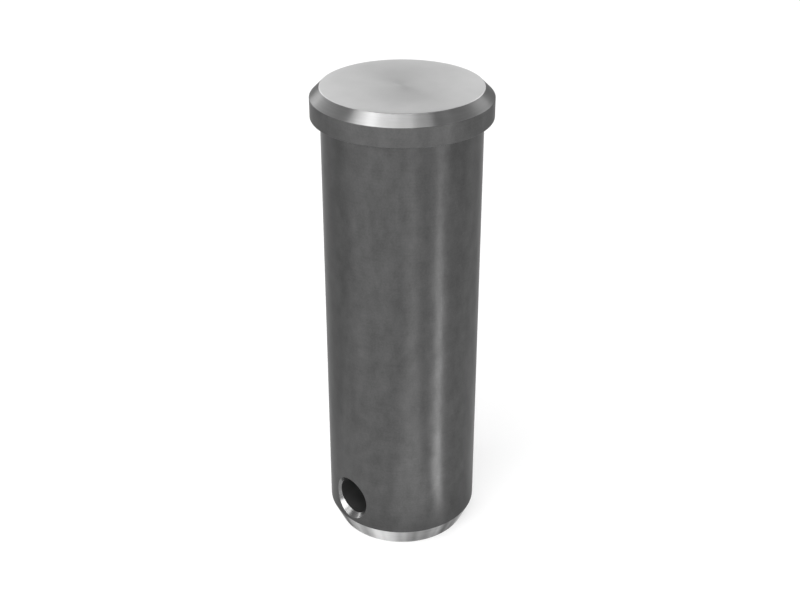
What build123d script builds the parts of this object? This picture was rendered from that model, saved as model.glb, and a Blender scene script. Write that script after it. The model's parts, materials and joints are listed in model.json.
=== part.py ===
from build123d import *

import os
from math import radians, tan

# Clevis pin: a round steel bar turned to a plain shank with a thin flat head at the top, a
# tapered end at the bottom to lead it into its holes, and a countersunk cross hole near that
# end for a cotter or a ring. It is one piece of metal.
#
# Sizes are in millimetres and angles in degrees. The origin is the centre of the bottom end
# face, +Z runs up the pin's axis to the head, and the cross hole runs along Y.

# Shank
shank_diameter = 25.4
grip_length = 66.675  # underside of the head to the middle of the cross hole
neck_fillet = 0.4  # inside corner where the shank meets the head

# Head
head_overhang = 1.5875  # how far the head stands out past the shank, all round
head_thickness = 4.7625
head_chamfer = 1.5875  # 45 degree chamfer round the top face

# Tapered end
end_taper_width = 1.5875  # how much radius the taper takes off
end_taper_angle = 25.0  # between the taper and the pin's axis

# Cross hole
hole_diameter = 6.35
hole_to_end = 7.9375  # middle of the hole to the bottom end face
countersink_width = 0.79375  # what the countersink adds to the hole's radius
countersink_angle = 82.0  # included angle of the cone

# Every outside corner of the turned outline is broken by this radius.
edge_radius = 0.15

# Sizes that follow from those above
shank_radius = shank_diameter / 2
head_radius = shank_radius + head_overhang
head_underside = hole_to_end + grip_length
total_length = head_underside + head_thickness
end_face_radius = shank_radius - end_taper_width
end_taper_height = end_taper_width / tan(radians(end_taper_angle))
hole_radius = hole_diameter / 2
mouth_radius = hole_radius + countersink_width


def turned_pin():
    """The pin as it leaves the lathe: its half outline revolved about its axis."""
    corners = [
        (end_face_radius, 0, edge_radius),
        (shank_radius, end_taper_height, edge_radius),
        (shank_radius, head_underside, neck_fillet),
        (head_radius, head_underside, edge_radius),
        (head_radius, total_length - head_chamfer, edge_radius),
        (head_radius - head_chamfer, total_length, edge_radius),
    ]
    points = [(radius, height) for radius, height, rounding in corners]
    roundings = [rounding for radius, height, rounding in corners]
    outline = FilletPolyline((0, 0), *points, (0, total_length), radius=roundings)
    axis_side = Line((0, total_length), (0, 0))
    half_section = make_face(Plane.XZ * (outline + axis_side))
    return revolve(half_section, Axis.Z)


def cross_hole(side):
    """The drill and countersink, entering from one side of the shank: -1 is -Y, 1 is +Y."""
    mouth = Plane(origin=(0, side * shank_radius, hole_to_end), z_dir=(0, side, 0))
    cutter = CounterSinkHole(hole_radius, mouth_radius, shank_diameter, countersink_angle)
    return mouth.location * cutter


clevis_pin = turned_pin() - cross_hole(-1) - cross_hole(1)
clevis_pin.label = "clevis_pin"

os.makedirs("parts", exist_ok=True)
export_step(clevis_pin, "parts/clevis_pin.step")
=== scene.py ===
import json
import math

import bmesh
import bpy
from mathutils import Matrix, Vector


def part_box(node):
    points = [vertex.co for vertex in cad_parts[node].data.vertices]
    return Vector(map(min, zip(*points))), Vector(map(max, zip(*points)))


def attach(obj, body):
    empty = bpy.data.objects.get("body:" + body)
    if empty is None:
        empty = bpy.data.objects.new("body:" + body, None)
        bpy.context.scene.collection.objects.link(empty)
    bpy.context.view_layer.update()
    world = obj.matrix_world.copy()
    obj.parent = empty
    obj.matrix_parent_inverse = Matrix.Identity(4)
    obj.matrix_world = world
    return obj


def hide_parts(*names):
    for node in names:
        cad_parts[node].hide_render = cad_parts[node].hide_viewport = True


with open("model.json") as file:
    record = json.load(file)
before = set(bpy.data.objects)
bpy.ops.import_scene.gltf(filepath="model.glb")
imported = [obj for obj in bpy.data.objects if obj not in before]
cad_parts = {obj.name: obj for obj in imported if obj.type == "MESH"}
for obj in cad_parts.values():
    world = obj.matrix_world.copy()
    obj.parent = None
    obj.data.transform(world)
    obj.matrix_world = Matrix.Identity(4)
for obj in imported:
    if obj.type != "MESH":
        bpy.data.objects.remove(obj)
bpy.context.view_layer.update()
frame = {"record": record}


# ---------------------------------------------------------------------------------------
# The turned pin. Real pins are turned from steel bar in one piece: the tapered end, the
# shank and the head. It is modelled the same way, as one ring drawn up from the end face,
# and every corner then gets the small radius that the turning tool leaves.

mm = 0.001
mounts = {mount["name"]: mount for mount in frame["record"]["mounts"]}
pin_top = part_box("clevis_pin")[1]

shank_radius = mounts["shank"]["dims"]["r_mm"] * mm
head_radius = pin_top.y
head_underside = mounts["head_shoulder"]["pos_m"][2]
head_chamfer = 1.5875 * mm
end_taper_width = 1.5875 * mm
end_taper_degrees = 25
edge_radius = 0.15 * mm
neck_fillet = 0.4 * mm

end_face_radius = shank_radius - end_taper_width
end_taper_height = end_taper_width / math.tan(math.radians(end_taper_degrees))
chamfer_foot = pin_top.z - head_chamfer
top_face_radius = head_radius - head_chamfer

# Rings stand close together where the cross hole will be cut, and wider apart above it.
sides = 256
close_rings_end = 16 * mm
close_ring_step = 0.5 * mm
wide_ring_step = 2.5 * mm

# The hoops inside a flat end, each as a share of its radius, and how near counts as on it.
hoop_widths = (0.1, 0.3, 0.3)
same_place = 0.001 * mm


def deselect_all():
    """Leaves nothing selected, so that the next operator acts on its own piece alone."""
    if bpy.context.mode != "OBJECT":
        bpy.ops.object.mode_set(mode="OBJECT")
    bpy.ops.object.select_all(action="DESELECT")


def draw_ring_up(start, rings):
    """Extrudes the selected ring through a list of (radius, height) steps."""
    last_radius, last_height = start
    for radius, height in rings:
        rise = {"value": (0, 0, height - last_height)}
        bpy.ops.mesh.extrude_region_move(TRANSFORM_OT_translate=rise)
        growth = radius / last_radius
        bpy.ops.transform.resize(value=(growth, growth, 1), center_override=(0, 0, height))
        last_radius, last_height = radius, height


def select_ring(piece, radius, height):
    """Selects the edges that run round the axis at one radius and height."""
    mesh = bmesh.from_edit_mesh(piece.data)
    on_ring = [
        abs(point.co.z - height) < same_place
        and abs(math.hypot(point.co.x, point.co.y) - radius) < same_place
        for point in mesh.verts
    ]
    mesh.verts.index_update()
    for edge in mesh.edges:
        edge.select_set(all(on_ring[point.index] for point in edge.verts))
    mesh.select_flush_mode()
    bmesh.update_edit_mesh(piece.data)


def round_corner(piece, radius, height, turn, rounding, steps):
    """Rounds the ring at a corner of the outline, where it turns by an angle in degrees."""
    select_ring(piece, radius, height)
    setback = rounding * math.tan(math.radians(turn) / 2)
    bpy.ops.mesh.bevel(offset=setback, offset_type="OFFSET", segments=steps, affect="EDGES")


def close_end(piece, radius, height):
    """Closes a ring with a flat face, in a few hoops round a fan of triangles."""
    select_ring(piece, radius, height)
    bpy.ops.mesh.edge_face_add()
    for share in hoop_widths:
        bpy.ops.mesh.inset(thickness=radius * share, depth=0)
    bpy.ops.mesh.poke()


def spaced(start, end, step):
    """Heights from start up to end, evenly spaced, about one step apart."""
    count = max(1, round((end - start) / step))
    return [start + (end - start) * (k + 1) / count for k in range(count)]


shank_heights = spaced(end_taper_height, close_rings_end, close_ring_step)
shank_heights += spaced(close_rings_end, head_underside, wide_ring_step)
outline = [(shank_radius, end_taper_height)]
outline += [(shank_radius, height) for height in shank_heights]
outline += [(head_radius, head_underside), (head_radius, chamfer_foot)]
outline += [(top_face_radius, pin_top.z)]

deselect_all()
bpy.ops.mesh.primitive_circle_add(vertices=sides, radius=end_face_radius, location=(0, 0, 0))
pin = bpy.context.object
pin.name = "turned_pin"
bpy.ops.object.mode_set(mode="EDIT")
bpy.ops.mesh.select_mode(type="EDGE")
bpy.ops.mesh.select_all(action="SELECT")
draw_ring_up((end_face_radius, 0), outline)
close_end(pin, end_face_radius, 0)
close_end(pin, top_face_radius, pin_top.z)
bpy.ops.mesh.select_all(action="SELECT")
bpy.ops.mesh.normals_make_consistent(inside=False)

round_corner(pin, end_face_radius, 0, 90 - end_taper_degrees, edge_radius, 4)
round_corner(pin, shank_radius, end_taper_height, end_taper_degrees, edge_radius, 3)
round_corner(pin, shank_radius, head_underside, 90, neck_fillet, 6)
round_corner(pin, head_radius, head_underside, 90, edge_radius, 4)
round_corner(pin, head_radius, chamfer_foot, 45, edge_radius, 3)
round_corner(pin, top_face_radius, pin_top.z, 45, edge_radius, 3)
bpy.ops.object.mode_set(mode="OBJECT")


# ---------------------------------------------------------------------------------------
# The cross hole for the cotter: a straight bore drilled through the shank, countersunk at
# both mouths. The cutter has the shape of the drill and both countersinks in one, cuts the
# pin, and is then deleted.

hole_height = mounts["cross_hole"]["pos_m"][2]
hole_radius = mounts["cross_hole"]["dims"]["r_mm"] * mm
countersink_width = 0.79375 * mm
countersink_angle = math.radians(82)
hole_sides = 128
bore_ring_step = 2 * mm
cutter_overrun = 1 * mm
smooth_below = math.radians(26)

mouth_radius = hole_radius + countersink_width
bore_end = shank_radius - countersink_width / math.tan(countersink_angle / 2)
cutter_end = shank_radius + cutter_overrun

deselect_all()
start = (mouth_radius, -cutter_end)
bpy.ops.mesh.primitive_circle_add(vertices=hole_sides, radius=start[0], location=(0, 0, start[1]))
cutter = bpy.context.object
bpy.ops.object.transform_apply(location=True, rotation=True, scale=True)
bpy.ops.object.mode_set(mode="EDIT")
bpy.ops.mesh.select_mode(type="EDGE")
bpy.ops.mesh.select_all(action="SELECT")
bore_depths = spaced(-bore_end, bore_end, bore_ring_step)
draw_ring_up(
    start,
    [(mouth_radius, -shank_radius), (hole_radius, -bore_end)]
    + [(hole_radius, depth) for depth in bore_depths]
    + [(mouth_radius, shank_radius), (mouth_radius, cutter_end)],
)
bpy.ops.mesh.edge_face_add()
select_ring(cutter, *start)
bpy.ops.mesh.edge_face_add()
bpy.ops.mesh.select_all(action="SELECT")
bpy.ops.mesh.normals_make_consistent(inside=False)
bpy.ops.transform.rotate(value=math.pi / 2, orient_axis="X", center_override=(0, 0, 0))
bpy.ops.transform.translate(value=(0, 0, hole_height))
bpy.ops.object.mode_set(mode="OBJECT")

deselect_all()
pin.select_set(True)
bpy.context.view_layer.objects.active = pin
drilling = pin.modifiers.new("cross hole", "BOOLEAN")
drilling.operation = "DIFFERENCE"
drilling.solver = "EXACT"
drilling.object = cutter
bpy.ops.object.modifier_apply(modifier=drilling.name)
deselect_all()
cutter.select_set(True)
bpy.ops.object.delete()

deselect_all()
pin.select_set(True)
bpy.context.view_layer.objects.active = pin
bpy.ops.object.shade_smooth_by_angle(angle=smooth_below)
flats_first = pin.modifiers.new("flat faces keep their normals", "WEIGHTED_NORMAL")
flats_first.keep_sharp = True
flats_first.weight = 80
bpy.ops.object.modifier_apply(modifier=flats_first.name)


# ---------------------------------------------------------------------------------------
# The finishes. The bar keeps a dark, slightly clouded skin on the shank and the rim of the head. The
# flat ends, the chamfer, the tapered end and the countersinks are cut bright and show fine turning
# marks; the tapered end's strong streaks are also painted reflection streaks. The bore is left as
# drilled.


def new_group(name, inputs, outputs):
    """An empty shader group with number inputs and outputs, and its two end nodes."""
    group = bpy.data.node_groups.new(name, "ShaderNodeTree")
    for socket, value in inputs.items():
        added = group.interface.new_socket(socket, in_out="INPUT", socket_type="NodeSocketFloat")
        added.default_value = value
    for socket in outputs:
        group.interface.new_socket(socket, in_out="OUTPUT", socket_type="NodeSocketFloat")
    return group, group.nodes.new("NodeGroupInput"), group.nodes.new("NodeGroupOutput")


def calculate(tree, operation, *values):
    """A math node on sockets or plain numbers, as its output socket."""
    node = tree.nodes.new("ShaderNodeMath")
    node.operation = operation
    for place, value in enumerate(values):
        if isinstance(value, (int, float)):
            node.inputs[place].default_value = value
        else:
            tree.links.new(value, node.inputs[place])
    return node.outputs[0]


def noise(tree, vector, detail, roughness):
    """A noise pattern from 0 to 1, one patch to each unit of a vector socket."""
    node = tree.nodes.new("ShaderNodeTexNoise")
    tree.links.new(vector, node.inputs["Vector"])
    node.inputs["Scale"].default_value = 1
    node.inputs["Detail"].default_value = detail
    node.inputs["Roughness"].default_value = roughness
    return node.outputs["Fac"]


def scaled_place(group, *factors):
    """The place on the pin with each of its coordinates multiplied, as a vector socket."""
    place = group.nodes.new("ShaderNodeTexCoord").outputs["Object"]
    split = group.nodes.new("ShaderNodeSeparateXYZ")
    joined = group.nodes.new("ShaderNodeCombineXYZ")
    group.links.new(place, split.inputs[0])
    for axis, factor in enumerate(factors):
        scaled = calculate(group, "MULTIPLY", split.outputs[axis], factor)
        group.links.new(scaled, joined.inputs[axis])
    return joined.outputs[0]


def out_from_axis(group, operation):
    """The way out from the pin's axis: its LENGTH is the radius, NORMALIZE its direction."""
    node = group.nodes.new("ShaderNodeVectorMath")
    node.operation = operation
    group.links.new(scaled_place(group, 1, 1, 0), node.inputs[0])
    return node.outputs["Value" if operation == "LENGTH" else "Vector"]


def turning_marks_group():
    """Fine rings left by the lathe, which fade in and out round the pin."""
    group, given, result = new_group(
        "turning_marks", {"Rings per metre": 3000, "Fading per metre": 150}, ["Ring"]
    )
    fading = given.outputs["Fading per metre"]
    rings = scaled_place(group, fading, fading, given.outputs["Rings per metre"])
    group.links.new(noise(group, rings, 3, 0.6), result.inputs["Ring"])
    return group


def facing_marks_group():
    """The spiral that a facing tool leaves on a flat end, as rings, and the radius itself."""
    group, given, result = new_group("facing_marks", {"Rings per metre": 5000}, ["Ring", "Radius"])
    radius = out_from_axis(group, "LENGTH")
    along = calculate(group, "MULTIPLY", radius, given.outputs["Rings per metre"])
    group.links.new(noise(group, along, 2, 0.5), result.inputs["Ring"])
    group.links.new(radius, result.inputs["Radius"])
    return group


def clouds_group():
    """Soft cloudy patches in the steel, taller than wide, with finer grain inside them."""
    group, given, result = new_group("clouds", {"Patches per metre": 500}, ["Cloud", "Grain"])
    stretched_up = 0.6
    finer = 7
    size = given.outputs["Patches per metre"]
    tall = calculate(group, "MULTIPLY", size, stretched_up)
    fine = calculate(group, "MULTIPLY", size, finer)
    patches = scaled_place(group, size, size, tall)
    grains = scaled_place(group, fine, fine, fine)
    group.links.new(noise(group, patches, 4, 0.55), result.inputs["Cloud"])
    group.links.new(noise(group, grains, 2, 0.6), result.inputs["Grain"])
    return group


def streaks_group():
    """Streaks that run down a turned slope, where the tool rubbed it bright or left it dull. Where
    they are strong, as on the tapered end, they are also painted bright and dark reflection streaks.
    """
    group, given, result = new_group("rubbed_and_painted_streaks", {"Streaks per radian": 3.2, "Start": 0}, ["Streak"])
    spread = group.nodes.new("ShaderNodeVectorMath")
    spread.operation = "SCALE"
    group.links.new(out_from_axis(group, "NORMALIZE"), spread.inputs[0])
    group.links.new(given.outputs["Streaks per radian"], spread.inputs["Scale"])
    started = group.nodes.new("ShaderNodeVectorMath")
    started.operation = "ADD"
    group.links.new(spread.outputs[0], started.inputs[0])
    group.links.new(given.outputs["Start"], started.inputs[1])
    group.links.new(noise(group, started.outputs[0], 2, 0.5), result.inputs["Streak"])
    return group


turning_marks = turning_marks_group()
facing_marks = facing_marks_group()
clouds = clouds_group()
rubbed_and_painted_streaks = streaks_group()


def place_group(tree, group, **values):
    """Puts a shader group in a material with its own values, and gives its outputs."""
    node = tree.nodes.new("ShaderNodeGroup")
    node.node_tree = group
    for socket, value in values.items():
        node.inputs[socket.replace("_", " ")].default_value = value
    return node.outputs


def vary(tree, middle, *swings):
    """A number that swings about its middle, with (pattern, strength) pairs."""
    for pattern, strength in swings:
        swing = calculate(tree, "MULTIPLY", calculate(tree, "SUBTRACT", pattern, 0.5), strength)
        middle = calculate(tree, "ADD", middle, swing)
    return middle


across_the_marks = 0.25


def steel(name, stretch, edge_shade):
    """Bare steel, its gloss stretched across the turning marks, as its material and tree."""
    material = bpy.data.materials.new(name)
    material.use_nodes = True
    shader = material.node_tree.nodes["Principled BSDF"]
    shader.inputs["Metallic"].default_value = 1
    shader.inputs["Anisotropic"].default_value = stretch
    shader.inputs["Anisotropic Rotation"].default_value = across_the_marks
    shader.inputs["Specular Tint"].default_value = (edge_shade, edge_shade, edge_shade, 1)
    return material, material.node_tree


def polish(tree, shade, roughness, relief):
    """Gives a steel its shade, its roughness and its relief in metres, all as sockets."""
    shader = tree.nodes["Principled BSDF"]
    grey = tree.nodes.new("ShaderNodeCombineColor")
    for channel in range(3):
        tree.links.new(shade, grey.inputs[channel])
    bump = tree.nodes.new("ShaderNodeBump")
    bump.inputs["Distance"].default_value = 1
    tree.links.new(relief, bump.inputs["Height"])
    tree.links.new(grey.outputs[0], shader.inputs["Base Color"])
    tree.links.new(roughness, shader.inputs["Roughness"])
    tree.links.new(bump.outputs[0], shader.inputs["Normal"])


micron = 0.001 * mm


def skin(name, shade, roughness, stretch):
    """The dark clouded skin, faintly ringed by the lathe."""
    material, tree = steel(name, stretch, edge_shade=0.62)
    ring = place_group(tree, turning_marks)["Ring"]
    cloud, grain = place_group(tree, clouds)
    worn = place_group(tree, clouds, Patches_per_metre=350)["Cloud"]
    swing = vary(tree, 1, (cloud, 0.65), (grain, 0.3), (ring, 0.15))
    polish(
        tree,
        shade=calculate(tree, "MULTIPLY", swing, shade),
        roughness=vary(tree, roughness, (worn, 0.1)),
        relief=vary(tree, 0, (cloud, 12 * micron), (grain, 2 * micron), (ring, 0.15 * micron)),
    )
    return material


def bright_cut(name, shade, roughness, stretch, rubbed_and_painted_streakiness, ringing, edge_shade=1, start=0):
    """A cleanly turned slope: bright, finely ringed and streaked down its length. The streaks are
    rubbed marks, and where strong they are also painted reflection streaks.
    """
    dullest = 0.05
    material, tree = steel(name, stretch, edge_shade)
    ring = place_group(tree, turning_marks)["Ring"]
    streak = place_group(tree, rubbed_and_painted_streaks, Start=start)["Streak"]
    swing = vary(tree, 1, (streak, rubbed_and_painted_streakiness), (ring, 0.3 * ringing))
    polish(
        tree,
        shade=calculate(tree, "MAXIMUM", calculate(tree, "MULTIPLY", swing, shade), dullest),
        roughness=vary(tree, roughness, (ring, 0.08 * ringing)),
        relief=vary(tree, 0, (ring, 0.2 * micron * ringing)),
    )
    return material


def faced_end(name):
    """A flat end: satin, ringed round the axis, and smoother towards its edge, with a painted
    brightening towards its edge that stands in for the brighter reflection there.
    """
    shade_at_axis = 0.36
    painted_brightening_per_metre = 12
    roughness_at_axis = 0.48
    smoother_per_metre = 14
    material, tree = steel(name, stretch=0.36, edge_shade=1)
    ring, radius = place_group(tree, facing_marks)
    cloud = place_group(tree, clouds, Patches_per_metre=160)["Cloud"]
    swing = vary(tree, 1, (ring, 0.06), (cloud, 0.3))
    # Painted highlight: the shade grows with the radius, standing in for the brighter reflection
    # towards the face's edge.
    swing = calculate(tree, "ADD", swing, calculate(tree, "MULTIPLY", radius, painted_brightening_per_metre))
    smoother = calculate(tree, "MULTIPLY", radius, smoother_per_metre)
    rough = calculate(tree, "SUBTRACT", roughness_at_axis, smoother)
    polish(
        tree,
        shade=calculate(tree, "MULTIPLY", swing, shade_at_axis),
        roughness=vary(tree, rough, (ring, 0.04)),
        relief=vary(tree, 0, (ring, 0.1 * micron)),
    )
    return material


# Each finish has its shade, roughness and stretch first. A slope then has how strongly it is streaked
# and ringed, how much its edge reflects, and where its streaking starts.
finishes = {
    "dark_skin": skin("dark_skin", 0.073, 0.35, 0.68),
    "dark_rim": skin("dark_rim", 0.084, 0.45, 0.4),
    "faced": faced_end("faced"),
    "chamfered": bright_cut("chamfered", 0.24, 0.35, 0.93, 0.15, 1, 0.4),
    # Painted reflection: the taper's strong streaks, and where they start, paint in bright and dark
    # reflection streaks down the taper, as well as rubbed marks.
    "tapered": bright_cut("tapered", 0.34, 0.5, 1, 3.2, 1.5, 0.8, start=6),
    "countersunk": bright_cut("countersunk", 0.175, 0.24, 0, 0.2, 0.1),
    "drilled": bright_cut("drilled", 0.18, 0.45, 0, 0.3, 0.5),
}
for material in finishes.values():
    pin.data.materials.append(material)
slots = list(finishes)

# A face counts as level above this normal, and the face's rounded edge shines as it does.
inside = 0.02 * mm
nearly_level = 0.99
top_edge = pin_top.z - 0.1 * mm


def finish_at(face):
    """Which finish a face has, from where it lies on the pin."""
    place = face.center
    from_axis = math.hypot(place.x, place.y)
    from_hole = math.hypot(place.x, place.z - hole_height)
    if from_hole < hole_radius + inside and abs(place.y) < bore_end:
        return "drilled"
    if from_hole < mouth_radius + inside and from_axis < shank_radius - inside:
        return "countersunk"
    if abs(face.normal.z) > nearly_level:
        return "dark_skin" if abs(place.z - head_underside) < inside else "faced"
    if place.z > top_edge:
        return "faced"
    if place.z < end_taper_height:
        return "tapered"
    if place.z > chamfer_foot:
        return "chamfered"
    if from_axis > shank_radius + neck_fillet:
        return "dark_rim"
    return "dark_skin"


for face in pin.data.polygons:
    face.material_index = slots.index(finish_at(face))

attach(pin, "root")
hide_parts("clevis_pin")


# ---------------------------------------------------------------------------------------
# The floor: a wide sheet of white paper that the pin stands on. Most of what the eye and
# the polished steel see of it is its own plain white, and the rest shows the soft shadow.

floor_size = 6
paper_shade = 0.95
plain_white_share = 0.6

deselect_all()
bpy.ops.mesh.primitive_plane_add(size=floor_size, location=(0, 0, 0))
floor = bpy.context.object
floor.name = "floor"


def background_rays(tree):
    """Is 1 for the camera's rays and for those off gloss or through glass, and else 0."""
    path = tree.nodes.new("ShaderNodeLightPath").outputs
    seen = calculate(tree, "ADD", path["Is Camera Ray"], path["Is Glossy Ray"])
    return calculate(tree, "MINIMUM", calculate(tree, "ADD", seen, path["Is Transmission Ray"]), 1)


paper = bpy.data.materials.new("white_paper")
paper.use_nodes = True
tree = paper.node_tree
shader = tree.nodes["Principled BSDF"]
shader.inputs["Base Color"].default_value = (paper_shade, paper_shade, paper_shade, 1)
shader.inputs["Roughness"].default_value = 1
shader.inputs["Specular IOR Level"].default_value = 0
white = tree.nodes.new("ShaderNodeEmission")
blend = tree.nodes.new("ShaderNodeMixShader")
share = calculate(tree, "MULTIPLY", background_rays(tree), plain_white_share)
tree.links.new(share, blend.inputs[0])
tree.links.new(shader.outputs[0], blend.inputs[1])
tree.links.new(white.outputs[0], blend.inputs[2])
tree.links.new(blend.outputs[0], tree.nodes["Material Output"].inputs["Surface"])
floor.data.materials.append(paper)


# ---------------------------------------------------------------------------------------
# The room: plain and pale, with walls lighter than its ceiling. Seen from the floor, the
# walls end at one elevation and the ceiling starts at another, with a soft change between.

wall_strength = 0.8
ceiling_strength = 0.35
walls_end = math.radians(15)
ceiling_starts = math.radians(50)

world = bpy.data.worlds.new("studio")
bpy.context.scene.world = world
world.use_nodes = True
tree = world.node_tree
direction = tree.nodes.new("ShaderNodeTexCoord").outputs["Generated"]
split = tree.nodes.new("ShaderNodeSeparateXYZ")
tree.links.new(direction, split.inputs[0])
wall_to_ceiling = tree.nodes.new("ShaderNodeMapRange")
wall_to_ceiling.interpolation_type = "SMOOTHSTEP"
tree.links.new(split.outputs["Z"], wall_to_ceiling.inputs["Value"])
wall_to_ceiling.inputs["From Min"].default_value = math.sin(walls_end)
wall_to_ceiling.inputs["From Max"].default_value = math.sin(ceiling_starts)
wall_to_ceiling.inputs["To Min"].default_value = wall_strength
wall_to_ceiling.inputs["To Max"].default_value = ceiling_strength
tree.links.new(wall_to_ceiling.outputs["Result"], tree.nodes["Background"].inputs["Strength"])
tree.nodes["Background"].inputs["Color"].default_value = (1, 1, 1, 1)


# ---------------------------------------------------------------------------------------
# The lamps: soft boxes round the pin, and glowing cards that lie on the floor and show in
# the shank. A bearing is measured round the pin from the camera's side, to the right.

camera_bearing = math.radians(45)
half_way = pin_top.z / 2
lamp_distance = 0.6
card_height = 1 * mm


def from_pin(bearing, elevation, distance, height):
    """A point at a bearing and an elevation in degrees, seen from a height on the axis."""
    turn = camera_bearing + math.radians(bearing)
    rise = math.radians(elevation)
    flat = math.cos(rise) * distance
    return Vector((math.sin(turn) * flat, -math.cos(turn) * flat, height + math.sin(rise) * distance))


def lamp(name, place, rotation, width, height, radiance):
    """A rectangular lamp with an even face, which the camera doesn't see."""
    light = bpy.data.lights.new(name, "AREA")
    light.shape = "RECTANGLE"
    light.size, light.size_y = width, height
    light.energy = radiance * math.pi * light.size * light.size_y
    holder = bpy.data.objects.new(name, light)
    bpy.context.scene.collection.objects.link(holder)
    holder.location = place
    holder.rotation_euler = rotation
    holder.visible_camera = False


def softbox(name, bearing, elevation, across, upwards, radiance):
    """A lamp that faces the pin, its size given as angles in degrees seen from the pin."""
    place = from_pin(bearing, elevation, lamp_distance, half_way)
    facing = (place - Vector((0, 0, half_way))).to_track_quat("Z", "Y").to_euler()
    width = 2 * lamp_distance * math.tan(math.radians(across) / 2)
    height = 2 * lamp_distance * math.tan(math.radians(upwards) / 2)
    lamp(name, place, facing, width, height, radiance)


def floor_card(name, bearing, distance, turn, length, width, radiance):
    """A lamp that lies face up on the floor, turned by a bearing, all its sizes in mm."""
    place = from_pin(bearing, 0, distance * mm, card_height)
    face_up = (math.pi, 0, camera_bearing + math.radians(turn))
    lamp(name, place, face_up, width * mm, length * mm, radiance)


softbox("key", -25, 28, 38, 32, 6.4)
softbox("high_key", -66, 54, 20, 26, 5.6)
softbox("front_top", -20, 62, 40, 14, 5.5)
softbox("right_top", 28, 60, 26, 14, 3.3)
softbox("left_low", -64, 4, 34, 8, 4.5)
softbox("centre_low", 14, 4, 20, 8, 6)
softbox("right_low", 57, 4, 11, 8, 12)
softbox("right_edge", 116, 0, 34, 7, 3.6)
softbox("left_edge", -122, 4, 26, 8, 3.5)
softbox("left_back", -142, 10, 20, 16, 1.6)
softbox("back_left", -150, 30, 30, 40, 1.4)
softbox("back", 180, 30, 20, 36, 0.5)
softbox("back_right", 150, 35, 24, 18, 2.4)
floor_card("card_streak", 53, 86.4, 57.5, 125, 6.5, 5)
floor_card("card_streak_far", 54, 111, 57.5, 90, 9, 9)
floor_card("card_centre", 14, 82.7, 15, 125, 20, 1)
floor_card("card_left", -59, 81, -64, 125, 60, 0.3)
floor_card("card_right", 104, 105, 110, 170, 60, 0.26)


# ---------------------------------------------------------------------------------------
# The camera stands at the pin's right front, looks down at it, and is set a touch to one
# side of its axis.

camera_pitch = math.radians(28.497)
camera_distance = 0.2103
aim_height = 0.04208
aim_offset = -0.000346
sensor_width = 36
focal_length = 56.828
nearest_seen = 0.01

lens = bpy.data.cameras.new("camera")
lens.sensor_width = sensor_width
lens.lens = focal_length
lens.clip_start = nearest_seen
camera = bpy.data.objects.new("camera", lens)
bpy.context.scene.collection.objects.link(camera)
sideways = Vector((math.cos(camera_bearing), math.sin(camera_bearing), 0)) * aim_offset
camera.location = from_pin(0, math.degrees(camera_pitch), camera_distance, aim_height) + sideways
camera.rotation_euler = (math.pi / 2 - camera_pitch, 0, camera_bearing)
bpy.context.scene.camera = camera
bpy.context.scene.view_settings.view_transform = "Standard"
